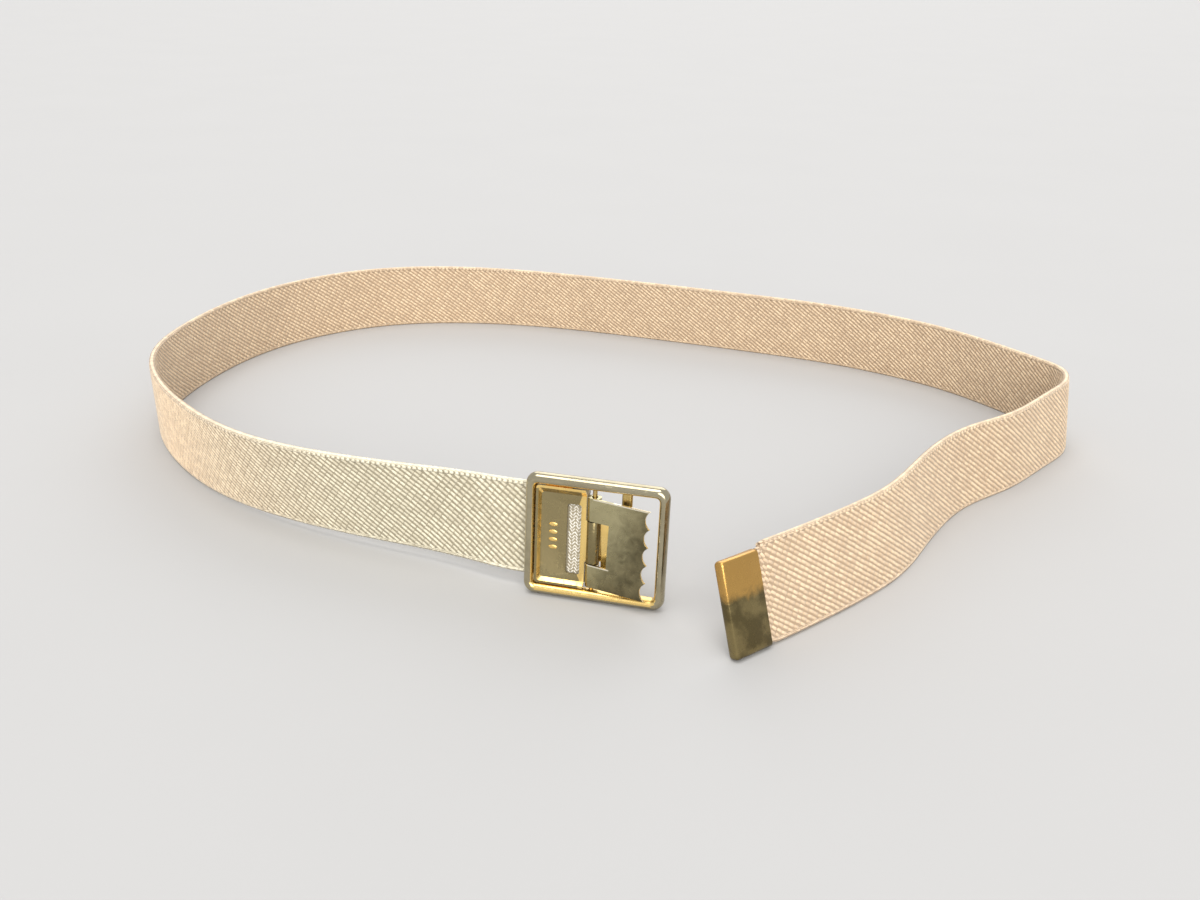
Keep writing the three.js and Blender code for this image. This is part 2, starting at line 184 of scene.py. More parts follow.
class SharedEffects:
    """Shader groups that several materials use, each built once."""

    WEAR = ("Scratch Depth", "Blotch Scale", "Low Roughness", "High Roughness")
    SCRATCH_SCALE = 900.0
    DUST_SCALE = 2600.0
    TWIST_SCALE = 2200.0
    TWIST_DEPTH = 0.4
    SHADE_SCALE = 55.0

    def __init__(self) -> None:
        """Build the groups."""
        self.metal_wear = self.build_metal_wear()
        self.thread = self.build_thread()

    def build_metal_wear(self) -> bpy.types.NodeTree:
        """Return the group for scratches, smudges and tarnish on polished metal."""
        inputs = {"Place": "Vector"} | dict.fromkeys(self.WEAR, "Float")
        outputs = {"Blotch": "Float", "Roughness": "Float", "Normal": "Vector"}
        sketch, given, result = new_group("metal_wear", "ShaderNodeTree", inputs, outputs)
        value, number = given.outputs, sketch.math
        lines = []
        for turn, stretch in (((0.4, 0.2, 0.9), (1.0, 0.035, 0.5)),
                              ((1.1, 0.7, -0.5), (0.03, 1.0, 0.6))):
            placed = sketch.add("ShaderNodeMapping", {
                "Vector": value["Place"], "Rotation": turn, "Scale": stretch})
            line = sketch.noise(placed, self.SCRATCH_SCALE, 2.0, Roughness=0.6)
            lines.append(sketch.spread(line, 0.6, 0.7))
        scratches = number("MAXIMUM", *lines)
        cloud = sketch.noise(
            value["Place"], value["Blotch Scale"], 5.0, Roughness=0.62, Distortion=0.7)
        blotch = sketch.spread(cloud, 0.4, 0.68)
        dust = sketch.noise(value["Place"], self.DUST_SCALE, 2.0)
        span = number("SUBTRACT", value["High Roughness"], value["Low Roughness"])
        rough = number("ADD", value["Low Roughness"], number("MULTIPLY", blotch, span))
        rough = number("ADD", rough, number("MULTIPLY", scratches, 0.12))
        height = number("SUBTRACT", number("MULTIPLY", dust, 0.12), scratches)
        height = number("ADD", height, number("MULTIPLY", cloud, 1.4))
        normal = sketch.bump(height, value["Scratch Depth"])
        sketch.wire(result, {"Blotch": blotch, "Roughness": rough, "Normal": normal})
        return sketch.tree

    def build_thread(self) -> bpy.types.NodeTree:
        """Return the group for yarn: a shade that varies between floats, and its fine twist."""
        sketch, given, result = new_group(
            "thread", "ShaderNodeTree", {"Place": "Vector", "Tone": "Float"},
            {"Shade": "Float", "Normal": "Vector"})
        value = given.outputs
        fine = sketch.noise(value["Place"], self.TWIST_SCALE, 3.0, Roughness=0.7)
        wide = sketch.noise(value["Place"], self.SHADE_SCALE, 3.0)
        shade: Any = 0.0
        for source, weight in ((value["Tone"], 0.45), (fine, 0.35), (wide, 0.2)):
            shade = sketch.math("ADD", shade, sketch.math("MULTIPLY", source, weight))
        sketch.wire(result, {"Shade": sketch.spread(shade, 0.2, 0.82),
                             "Normal": sketch.bump(fine, self.TWIST_DEPTH)})
        return sketch.tree


def start_material(name: str) -> tuple[bpy.types.Material, NodeSketch, bpy.types.Node]:
    """Return a new material, a sketch of its tree and its Principled node."""
    material = bpy.data.materials.new(name)
    material.use_nodes = True
    material.node_tree.nodes.clear()
    sketch = NodeSketch(material.node_tree)
    shader = sketch.add("ShaderNodeBsdfPrincipled")
    sketch.add("ShaderNodeOutputMaterial", {"Surface": shader.outputs[0]})
    return material, sketch, shader


@dataclass(frozen=True)
class Darkening:
    """A darker patch on brass (on the tip, a painted dark reflection): its colour, the values that
    it grows over, and how uneven it is.
    """

    colour: Colour
    span: tuple[float, float]
    noise: float


@dataclass(frozen=True)
class BrassFinish:
    """Polished brass under lacquer, with light scratches and a duller tarnish."""

    name: str
    colour: Colour
    tarnish: Colour
    low_roughness: float
    high_roughness: float
    scratch_depth: float
    blotch_scale: float = 120.0
    tarnish_share: float = 0.35
    darkening: Darkening | None = None

    def build(self, effects: SharedEffects) -> bpy.types.Material:
        """Return the material. A darker patch, a painted dark reflection on the tip, is laid where
        the piece's own attribute says.
        """
        material, sketch, shader = start_material(self.name)
        place = sketch.add("ShaderNodeTexCoord").outputs["Object"]
        wear = sketch.add("ShaderNodeGroup", {
            "Place": place, "Scratch Depth": self.scratch_depth,
            "Blotch Scale": self.blotch_scale, "Low Roughness": self.low_roughness,
            "High Roughness": self.high_roughness,
        }, node_tree=effects.metal_wear)
        share = sketch.math("MULTIPLY", wear.outputs["Blotch"], self.tarnish_share)
        colour = sketch.blended(share, rgba(self.colour), rgba(self.tarnish))
        if self.darkening is not None:
            mark = sketch.add("ShaderNodeAttribute", attribute_name="darkening").outputs["Fac"]
            uneven = sketch.math("SUBTRACT", sketch.noise(place, 260.0, 4.0, Distortion=1.2), 0.5)
            edge = sketch.math("ADD", mark, sketch.math("MULTIPLY", uneven, self.darkening.noise))
            dark, light = (
                tuple(factor * part for part in self.darkening.colour) for factor in (0.75, 1.4))
            cloud = sketch.spread(sketch.noise(place, 170.0, 3.0), 0.36, 0.64)
            darkened = sketch.blended(cloud, rgba(dark), rgba(light))
            colour = sketch.blended(sketch.spread(edge, *self.darkening.span), colour, darkened)
        sketch.wire(shader, {"Base Color": colour, "Roughness": wear.outputs["Roughness"],
                             "Normal": wear.outputs["Normal"]})
        shader.inputs["Metallic"].default_value = 1.0
        return material


@dataclass(frozen=True)
class YarnFinish:
    """Spun yarn: a light and a shaded colour, paler near the buckle, where a pool of light is
    painted.
    """

    name: str
    light: Colour
    shade: Colour
    pale_lit_light: Colour
    pale_lit_shade: Colour
    lit_pool_until_mm: float = 70.0
    lit_pool_ends_mm: float = 200.0

    def build(self, effects: SharedEffects) -> bpy.types.Material:
        """Return the material. It reads each float's own tone and its place along the belt."""
        material, sketch, shader = start_material(self.name)
        place = sketch.add("ShaderNodeTexCoord").outputs["Object"]
        tone, along = (sketch.add("ShaderNodeAttribute", attribute_name=name).outputs["Fac"]
                       for name in ("tone", "along"))
        yarn = sketch.add(
            "ShaderNodeGroup", {"Place": place, "Tone": tone}, node_tree=effects.thread)
        shade = yarn.outputs["Shade"]
        # Paler colours near the buckle: a painted pool of light.
        past_lit_pool = sketch.spread(along, self.lit_pool_until_mm * MM, self.lit_pool_ends_mm * MM)
        plain = sketch.blended(shade, rgba(self.shade), rgba(self.light))
        lit_pool_colour = sketch.blended(shade, rgba(self.pale_lit_shade), rgba(self.pale_lit_light))
        sketch.wire(shader, {"Base Color": sketch.blended(past_lit_pool, lit_pool_colour, plain),
                             "Normal": yarn.outputs["Normal"]})
        looks = {"Roughness": 0.82, "Sheen Weight": 0.25, "Sheen Roughness": 0.5}
        for name, number in looks.items():
            shader.inputs[name].default_value = number
        return material


class Finish(Enum):
    """Every finish on the belt."""

    # Each yarn's second pair of colours is the paler painted light near the buckle.
    FLOATS = YarnFinish("yarn_floats", (0.90, 0.71, 0.49), (0.70, 0.53, 0.36),
                        (0.87, 0.81, 0.63), (0.67, 0.61, 0.46))
    # The core is a darker copy of the yarn: painted shade in the grooves between floats.
    CORE_SHADE = YarnFinish("yarn_core_shade", (0.53, 0.385, 0.25), (0.38, 0.27, 0.175),
                      (0.42, 0.37, 0.26), (0.29, 0.25, 0.17))
    # The selvedge's near-buckle pair is brighter than the floats': a painted highlight along the
    # edge.
    SELVEDGE = YarnFinish("yarn_selvedge", (0.90, 0.71, 0.49), (0.68, 0.52, 0.36),
                          (0.92, 0.86, 0.67), (0.78, 0.715, 0.545))
    STITCH = YarnFinish("yarn_stitches", (0.95, 0.92, 0.85), (0.80, 0.75, 0.65),
                        (0.95, 0.92, 0.85), (0.80, 0.75, 0.65))
    RING = BrassFinish("ring_brass", (0.44, 0.39, 0.265), (0.27, 0.23, 0.14),
                       0.13, 0.22, 0.05, blotch_scale=150.0)
    # Bright gold: a painted reflection on walls and edges that face bright surroundings, and
    # painted glints on the pips.
    GOLD_REFLECTION = BrassFinish("gold_reflection_brass", (0.95, 0.68, 0.25), (0.76, 0.51, 0.16), 0.22, 0.34, 0.02)
    PLATE = BrassFinish("plate_brass", (0.34, 0.278, 0.142), (0.24, 0.19, 0.095), 0.22, 0.38, 0.08)
    # A darker copy of the plate's brass: painted shade on the knuckle under the lever's hinge.
    KNUCKLE_SHADE = BrassFinish("knuckle_shade_brass", (0.27, 0.22, 0.11), (0.18, 0.145, 0.07),
                          0.22, 0.36, 0.05)
    LEVER = BrassFinish("lever_brass", (0.49, 0.44, 0.255), (0.34, 0.3, 0.158), 0.17, 0.32, 0.06,
                        darkening=Darkening((0.17, 0.145, 0.08), (0.1, 0.9), 0.6))
    # Light brass of the lever's cut edges, also used for painted highlight strips on its face.
    LEVER_EDGE_AND_HIGHLIGHT = BrassFinish("lever_edge_and_highlight_brass", (0.92, 0.85, 0.68), (0.70, 0.62, 0.42),
                             0.18, 0.32, 0.03)
    # The tip's darker lower part is a painted dark reflection.
    TIP = BrassFinish("tip_brass", (0.57, 0.335, 0.098), (0.47, 0.27, 0.08), 0.20, 0.34, 0.05,
                      darkening=Darkening((0.185, 0.145, 0.066), (0.34, 0.50), 0.22))
    BAR = BrassFinish("bar_brass", (0.62, 0.45, 0.17), (0.4, 0.28, 0.1), 0.2, 0.34, 0.12)


class Palette:
    """The materials of all the finishes."""

    def __init__(self) -> None:
        """Build each finish's material once."""
        effects = SharedEffects()
        self.materials = {finish: finish.value.build(effects) for finish in Finish}

    def __getitem__(self, finish: Finish) -> bpy.types.Material:
        """Return a finish's material."""
        return self.materials[finish]


# --------------------------------------------------------------------- meshes


def linked(name: str, data: Any) -> Item:
    """Return a new object in the scene for a mesh, a light or a camera."""
    made = bpy.data.objects.new(name, data)
    bpy.context.scene.collection.objects.link(made)
    return made


def shade_smooth(mesh: bpy.types.Mesh) -> None:
    """Shade all of a mesh's faces smooth."""
    for polygon in mesh.polygons:
        polygon.use_smooth = True


def mesh_object(name: str, points: list[Vector], faces: list[tuple[int, ...]]) -> Item:
    """Return a smooth-shaded object in the scene, made of points in metres and faces."""
    mesh = bpy.data.meshes.new(name)
    mesh.from_pydata([tuple(point) for point in points], [], faces)
    mesh.update()
    shade_smooth(mesh)
    return linked(name, mesh)


def bands(size: int, loops: list[int]) -> list[tuple[int, ...]]:
    """Return the faces that join each loop of points to the next.

    Args:
        size: How many points a loop has.
        loops: The loops' numbers, in their order.

    Returns:
        The faces, as the numbers of their points.
    """
    return [(a * size + k, a * size + (k + 1) % size, b * size + (k + 1) % size, b * size + k)
            for a, b in zip(loops, loops[1:]) for k in range(size)]


def add_attribute(mesh: bpy.types.Mesh, name: str, kind: str, values: list[Any]) -> None:
    """Store one value, or one vector, for each of a mesh's vertices."""
    attribute = mesh.attributes.new(name, kind, "POINT")
    if kind == "FLOAT_VECTOR":
        attribute.data.foreach_set("vector", [number for value in values for number in value])
    else:
        attribute.data.foreach_set("value", values)


def face_outwards(mesh: bpy.types.Mesh) -> None:
    """Turn all the faces of closed shells outwards."""
    work = bmesh.new()
    work.from_mesh(mesh)
    bmesh.ops.recalc_face_normals(work, faces=work.faces)
    work.to_mesh(mesh)
    work.free()


def applied(holder: Item, name: str) -> Item:
    """Return a plain mesh object of what a holder's modifiers make, and remove the holder."""
    graph = bpy.context.evaluated_depsgraph_get()
    mesh = bpy.data.meshes.new_from_object(holder.evaluated_get(graph), depsgraph=graph)
    mesh.name = name
    made = linked(name, mesh)
    bpy.data.objects.remove(holder)
    return made


def bevelled_copy(node: Item, name: str, bevel_mm: float,
                  cuts: tuple[tuple[Vector, Vector], ...] = ()) -> Item:
    """Return a copy of a solid with its loose triangles joined and its edges softened.

    Args:
        node: The solid's object.
        name: The new piece's name.
        bevel_mm: Width of the softened edges.
        cuts: Planes, as a point and a normal, along which large faces are parted.

    Returns:
        The new piece.
    """
    mesh = node.data.copy()
    work = bmesh.new()
    work.from_mesh(mesh)
    bmesh.ops.remove_doubles(work, verts=work.verts, dist=2e-6)
    bmesh.ops.dissolve_limit(
        work, angle_limit=math.radians(0.6), verts=work.verts, edges=work.edges)
    for point, normal in cuts:
        everything = [*work.verts, *work.edges, *work.faces]
        bmesh.ops.bisect_plane(
            work, geom=everything, dist=1e-6, plane_co=point, plane_no=normal)
    work.to_mesh(mesh)
    work.free()
    mesh.materials.clear()
    holder = linked(name + "_holder", mesh)
    bevel = holder.modifiers.new("edges", "BEVEL")
    bevel.width = bevel_mm * MM
    bevel.segments = 2
    bevel.limit_method = "ANGLE"
    bevel.angle_limit = math.radians(SHARP_DEG)
    made = applied(holder, name)
    shade_smooth(made.data)
    made.data.set_sharp_from_angle(angle=math.radians(SHARP_DEG))
    return made


def dress(piece: Item, palette: Palette,
          finish_of: Callable[[Vector, Vector], Finish], axes: Matrix) -> None:
    """Give each face of a piece its finish.

    Args:
        piece: The piece.
        palette: The materials.
        finish_of: Tells a face's finish from its middle and its normal, both on the buckle's axes.
        axes: The matrix from millimetres on the buckle's axes to metres.
    """
    to_buckle = axes.inverted()
    slots: dict[Finish, int] = {}
    for polygon in piece.data.polygons:
        normal = (to_buckle.to_3x3() @ polygon.normal).normalized()
        finish = finish_of(to_buckle @ polygon.center, normal)
        if finish not in slots:
            slots[finish] = len(slots)
            piece.data.materials.append(palette[finish])
        polygon.material_index = slots[finish]


def finish_piece(piece: Item, body: str, node: str | None = None) -> None:
    """Put a finished piece on its body and hide the solid it stands for."""
    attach(piece, body)
    if node is not None:
        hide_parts(node)
    piece.data.calc_loop_triangles()
    LOG.info("%s: %d triangles on %s", piece.name, len(piece.data.loop_triangles), body)


# ------------------------------------------------------------------ the route


def smooth_step(t: float) -> float:
    """Return a smooth step from 0 to 1."""
    t = min(max(t, 0.0), 1.0)
    return t * t * (3 - 2 * t)


def monotone_curve(rows: Table) -> Callable[[float], float]:
    """Return a curve through the rows of a table that never overshoots between two rows."""
    gaps = [after[0] - before[0] for before, after in zip(rows, rows[1:])]
    rises = [(after[1] - before[1]) / gap for before, after, gap in zip(rows, rows[1:], gaps)]

    def end_slope(near: float, far: float, near_gap: float, far_gap: float) -> float:
        """Return the slope at one end of the table."""
        slope = ((2 * near_gap + far_gap) * near - near_gap * far) / (near_gap + far_gap)
        if slope * near <= 0:
            return 0.0
        return 3 * near if near * far <= 0 and abs(slope) > 3 * abs(near) else slope

    slopes = [end_slope(rises[0], rises[1], gaps[0], gaps[1])]
    for i in range(1, len(rows) - 1):
        if rises[i - 1] * rises[i] <= 0:
            slopes.append(0.0)
            continue
        before, after = 2 * gaps[i] + gaps[i - 1], gaps[i] + 2 * gaps[i - 1]
        slopes.append((before + after) / (before / rises[i - 1] + after / rises[i]))
    slopes.append(end_slope(rises[-1], rises[-2], gaps[-1], gaps[-2]))

    def value(at: float) -> float:
        """Return the curve's value at a place along the table."""
        found = next((i for i, row in enumerate(rows) if row[0] > at), len(rows) - 1)
        i = max(found - 1, 0)
        t = (at - rows[i][0]) / gaps[i]
        start, end = (1 + 2 * t) * (1 - t) ** 2, t * t * (3 - 2 * t)
        pull = t * (1 - t) ** 2 * gaps[i] * slopes[i] + t * t * (t - 1) * gaps[i] * slopes[i + 1]
        return start * rows[i][1] + end * rows[i + 1][1] + pull

    return value


@dataclass(frozen=True)
class BuckleAxes:
    """The buckle's own axes: x across it, y up it, z outward."""

    centre_mm: tuple[float, float, float] = (-5.17, -131.835, 20.91)
    heading_deg: float = -14.65
    lean_deg: float = 5.55

    def matrix(self) -> Matrix:
        """Return the matrix from millimetres on these axes to metres in the part's frame."""
        turn = Matrix.Rotation(math.radians(self.heading_deg), 4, "Z")
        tip_back = Matrix.Rotation(math.radians(90 - self.lean_deg), 4, "X")
        return Matrix.Scale(MM, 4) @ Matrix.Translation(self.centre_mm) @ turn @ tip_back


@dataclass(frozen=True)
class Station:
    """A place along the webbing: its lower edge's point in metres, its way up and its way out."""

    at_mm: float
    point: Vector
    up: Vector
    outward: Vector


@dataclass(frozen=True)
class WebRoute:
    """The webbing's way from its cut end in the buckle to the tip's outer end.

    The tables hold distance along it in millimetres, with the heading in plan and the
    lean of its top to the left, both in degrees.
    """

    axes: BuckleAxes
    cut_end_mm: float = -3.6
    depth_mm: float = -5.3
    width_mm: float = 32.0
    thick_mm: float = 2.4
    edge_radius_mm: float = 0.9
    tip_length_mm: float = 15.0
    tip_edges_mm: tuple[float, float] = (0.6, 29.6)
    tip_draw_run_mm: float = 4.0
    tip_gap_mm: float = 0.3
    tip_lift_mm: float = 0.35
    tip_lift_run_mm: float = 90.0
    frame_lift_run_mm: float = 255.0
    step_mm: float = 0.5
    headings: Table = (
        (0, 165.35), (17, 165.35), (37, 152), (68, 158.5), (119, 150.3), (170, 132.5),
        (221, 116.6), (272, 85.1), (323, 69.5), (384, 41.5), (466, -0.9), (548, -18.3),
        (629, -21.5), (701, -38.4), (752, -56.9), (777, -58.8), (803, -109.7), (823, -133.1),
        (844, -132.6), (874, -142.7), (905, -125.7), (935, -120), (976, -136), (1039, -142))
    leans: Table = (
        (0, -5.55), (17, -5.55), (68, 5.4), (119, 9.3), (180, 3.9), (262, 0.8), (384, 0.8),
        (548, -8.7), (711, -8.2), (803, -6.5), (864, -3.8), (915, -10.3), (1039, -18.4))

    @property
    def length_mm(self) -> float:
        """Return the whole length, to the tip's outer end."""
        return self.headings[-1][0]

    @property
    def draw_start_mm(self) -> float:
        """Return where the edges start to draw in to enter the tip."""
        return self.length_mm - self.tip_length_mm - self.tip_gap_mm - self.tip_draw_run_mm

    def edges_mm(self, at: float) -> tuple[float, float]:
        """Return where the lower and upper edges are, up the webbing's width."""
        drawn = smooth_step((at - self.draw_start_mm) / self.tip_draw_run_mm)
        low, high = self.tip_edges_mm
        return low * drawn, self.width_mm + (high - self.width_mm) * drawn

    def lift_mm(self, at: float, start_height: float) -> float:
        """Return how far the lower edge is held up by the buckle and by the tip."""
        from_frame = start_height * (1 - smooth_step(at / self.frame_lift_run_mm))
        run = self.tip_lift_run_mm
        into_tip = smooth_step((at - self.length_mm + run + self.tip_length_mm) / run)
        return from_frame + self.tip_lift_mm * into_tip

    def stations(self, every_mm: float, until_mm: float, from_mm: float = 0.0) -> list[Station]:
        """Return evenly spaced places along the webbing.

        Args:
            every_mm: About how far apart they are.
            until_mm: Where the last one is.
            from_mm: Where the first one is.

        Returns:
            The stations, in order along the webbing.
        """
        heading_at, lean_at = monotone_curve(self.headings), monotone_curve(self.leans)
        corner = Vector((self.cut_end_mm, -self.width_mm / 2, self.depth_mm))
        start = self.axes.matrix() @ corner / MM
        plan = [(start.x, start.y)]
        while len(plan) <= self.length_mm / self.step_mm:
            step, heading = self.step_mm, heading_at((len(plan) - 0.5) * self.step_mm)
            (x, y), turn = plan[-1], math.radians(heading)
            plan.append((x + step * math.cos(turn), y + step * math.sin(turn)))
        span = until_mm - from_mm
        count = round(span / every_mm)
        places = [from_mm + span * i / count for i in range(count + 1)]
        return [self.station(at, plan, start.z, heading_at, lean_at) for at in places]

    def station(self, at: float, plan: list[tuple[float, float]], start_height: float,
                heading_at: Callable[[float], float], lean_at: Callable[[float], float]) -> Station:
        """Return the station at a distance along the walked plan."""
        place = at / self.step_mm
        i = min(int(place), len(plan) - 2)
        part = place - i
        x, y = (a + (b - a) * part for a, b in zip(plan[i], plan[i + 1]))
        heading, lean = math.radians(heading_at(at)), math.radians(lean_at(at))
        along = Vector((math.cos(heading), math.sin(heading), 0))
        left = Vector((-math.sin(heading), math.cos(heading), 0))
        up = Vector((0, 0, math.cos(lean))) + left * math.sin(lean)
        flat_half = self.thick_mm / 2 - self.edge_radius_mm
        settle = self.edge_radius_mm * (1 - math.cos(lean)) + flat_half * abs(math.sin(lean))
        point = Vector((x, y, self.lift_mm(at, start_height) + settle)) * MM
        return Station(at, point, up, up.cross(along))


# -------------------------------------------------------------------- webbing


class Side(Enum):
    """Which way a row of floats faces: its turn about the webbing's length, in degrees."""

    OUTER = 0.0
    TOP = 90.0
    INNER = 180.0
    BOTTOM = 270.0


@dataclass(frozen=True)
class FloatRows:
    """A field of raised floats on one side of the webbing.

    Rows run along the webbing. first_row_mm and row_pitch_mm are measured up its width,
    and each row starts row_shift of a column further along than the one before it.
    """

    side: Side
    first_row_mm: float
    row_pitch_mm: float
    rows: int
    column_pitch_mm: float
    row_shift: float
    depth_mm: float
    angle_deg: float
    length_mm: float
    width_mm: float
    height_mm: float
    until_mm: float
    seed: int
    from_mm: float = 1.2
    looseness: float = 0.05


class FloatWeaver:
    """Lays fields of floats along the webbing with one Geometry Nodes tree."""

    WHOLE = ("Rows", "Columns", "Seed")
    REAL = ("First Row", "Row Pitch", "First Column", "Column Pitch", "Row Shift", "Depth", "Roll",
            "Float Angle", "Float Length", "Float Width", "Float Height", "Looseness")
    SEED_OF = {"along": 11, "across": 23, "angle": 37, "pitch": 41, "roll": 43, "size": 53}
    TONE_SEED = 7

    def __init__(self, route: WebRoute) -> None:
        """Keep the route and build the tree and the float's own shape."""
        self.route = route
        self.float_shape = self.build_float_shape()
        self.tree = self.build_tree()

    @staticmethod
    def build_float_shape() -> Item:
        """Return a low closed hump, 2 long, 2 wide and about 1 high, to be scaled."""
        corners = [(-1.0, -0.45), (-0.76, -1.0), (0.76, -1.0), (1.0, -0.45)]
        base = corners + [(-x, -y) for x, y in corners]
        crest = [Vector((-0.66, 0, 1.0)), Vector((0.66, 0, 1.0))]
        points = [Vector((x, y, -0.45)) for x, y in base] + crest
        faces = [(0, 1, 8), (1, 2, 9, 8), (2, 3, 9), (3, 4, 9), (4, 5, 9), (5, 6, 8, 9),
                 (6, 7, 8), (7, 0, 8), (7, 6, 5, 4, 3, 2, 1, 0)]
        return mesh_object("float_shape", points, faces)

    def guide(self) -> Item:
        """Return the webbing's lower edge, drawn in at the tip, as a polyline with its axes."""
        stations = self.route.stations(1.0, self.route.length_mm)
        edges = [self.route.edges_mm(s.at_mm) for s in stations]
        points = [tuple(s.point + s.up * low * MM) for s, (low, _) in zip(stations, edges)]
        mesh = bpy.data.meshes.new("web_guide")
        mesh.from_pydata(points, [(i, i + 1) for i in range(len(stations) - 1)], [])
        width = self.route.width_mm
        rises = [s.up * (high - low) / width for s, (low, high) in zip(stations, edges)]
        add_attribute(mesh, "rise", "FLOAT_VECTOR", rises)
        add_attribute(mesh, "outward", "FLOAT_VECTOR", [s.outward for s in stations])
        return linked("web_guide", mesh)

    def build_tree(self) -> bpy.types.NodeTree:
        """Return the tree: points in rows along the guide, a float on each, all made real."""
        inputs = {"Geometry": "Geometry"} | dict.fromkeys(self.WHOLE, "Int")
        inputs |= dict.fromkeys(self.REAL, "Float") | {"Float": "Object", "Yarn": "Material"}
        sketch, given, result = new_group(
            "float_rows", "GeometryNodeTree", inputs, {"Geometry": "Geometry"})
        value = given.outputs
        number, vectors = sketch.math, sketch.vectors

        curve = sketch.add("GeometryNodeMeshToCurve", {"Mesh": value["Geometry"]})
        count = number("MULTIPLY", value["Rows"], value["Columns"])
        points = sketch.add("GeometryNodePoints", {"Count": count})
        index = sketch.add("GeometryNodeInputIndex").outputs[0]
        column = number("FLOOR", number("DIVIDE", index, value["Rows"]))
        row = number("MODULO", index, value["Rows"])

        def random(low: float, seed: Any) -> Socket:
            """Return a random number from low to 1 for each float."""
            node = sketch.add("FunctionNodeRandomValue", {"Min": low, "Max": 1.0, "Seed": seed},
                              data_type="FLOAT")
            return sketch.find(node.outputs, 0)

        def jitter(name: str) -> Socket:
            """Return a random number from -1 to 1 for each float, times the looseness."""
            seed = number("ADD", value["Seed"], float(self.SEED_OF[name]))
            return number("MULTIPLY", random(-1.0, seed), value["Looseness"])

        shift = number("FRACT", number("MULTIPLY", row, value["Row Shift"]))
        shifted = number("ADD", number("ADD", column, shift), jitter("along"))
        along = number("ADD", value["First Column"],
                       number("MULTIPLY", shifted, value["Column Pitch"]))
        raised = number("MULTIPLY", number("ADD", row, jitter("across")), value["Row Pitch"])
        across = number("ADD", value["First Row"], raised)

        samples = {}
        for name in ("rise", "outward"):
            named = sketch.add(
                "GeometryNodeInputNamedAttribute", {"Name": name}, data_type="FLOAT_VECTOR")
            samples[name] = sketch.add(
                "GeometryNodeSampleCurve",
                {"Curves": curve, "Value": sketch.find(named.outputs, 0), "Length": along},
                mode="LENGTH", data_type="FLOAT_VECTOR")
        rise = sketch.find(samples["rise"].outputs, "Value")
        outward = sketch.find(samples["outward"].outputs, "Value")
        centre = samples["rise"].outputs["Position"]
        tangent = samples["rise"].outputs["Tangent"]
        normal = vectors("ADD", sketch.scaled(outward, number("COSINE", value["Roll"])),
                         sketch.scaled(rise, number("SINE", value["Roll"])))
        place = vectors("ADD", vectors("ADD", centre, sketch.scaled(rise, across)),
                        sketch.scaled(normal, value["Depth"]))

        placed = sketch.add("GeometryNodeSetPosition", {"Geometry": points, "Position": place})
        toned = sketch.add("GeometryNodeStoreNamedAttribute", {
            "Geometry": placed, "Name": "tone", "Value": random(0.0, self.TONE_SEED)},
            data_type="FLOAT")
        marked = sketch.add("GeometryNodeStoreNamedAttribute", {
            "Geometry": toned, "Name": "along", "Value": along}, data_type="FLOAT")

        upright = sketch.add(
            "FunctionNodeAxesToRotation", {"Primary Axis": normal, "Secondary Axis": tangent},
            primary_axis="Z", secondary_axis="X")
        angle = number("ADD", value["Float Angle"], number("MULTIPLY", jitter("angle"), 1.2))
        spin = sketch.add(
            "ShaderNodeCombineXYZ", {"X": jitter("pitch"), "Y": jitter("roll"), "Z": angle})
        euler = sketch.add("FunctionNodeEulerToRotation", {"Euler": spin})
        turned = sketch.add("FunctionNodeRotateRotation", {
            "Rotation": upright, "Rotate By": euler}, rotation_space="LOCAL")
        size = sketch.add("ShaderNodeCombineXYZ", {
            "X": value["Float Length"], "Y": value["Float Width"], "Z": value["Float Height"]})
        size = sketch.scaled(size, number("ADD", jitter("size"), 1.0))
        shape = sketch.add("GeometryNodeObjectInfo", {"Object": value["Float"]},
                           transform_space="ORIGINAL")
        laid = sketch.add("GeometryNodeInstanceOnPoints", {
            "Points": marked, "Instance": shape.outputs["Geometry"], "Rotation": turned,
            "Scale": size})
        real = sketch.add("GeometryNodeRealizeInstances", {"Geometry": laid})
        smooth = sketch.add("GeometryNodeSetShadeSmooth", {"Geometry": real})
        dyed = sketch.add(
            "GeometryNodeSetMaterial", {"Geometry": smooth, "Material": value["Yarn"]})
        sketch.wire(result, {"Geometry": dyed.outputs[0]})
        return sketch.tree

    def lay(self, name: str, fields: list[FloatRows], yarn: bpy.types.Material) -> Item:
        """Lay fields of floats and join them into one piece.

        Args:
            name: The piece's name.
            fields: What to lay.
            yarn: The floats' material.

        Returns:
            The finished piece.
        """
        made = [self.lay_field(f"{name}_{i}", field, yarn) for i, field in enumerate(fields)]
        if len(made) > 1:
            with bpy.context.temp_override(active_object=made[0], selected_editable_objects=made):
                bpy.ops.object.join()
        made[0].name = made[0].data.name = name
        return made[0]

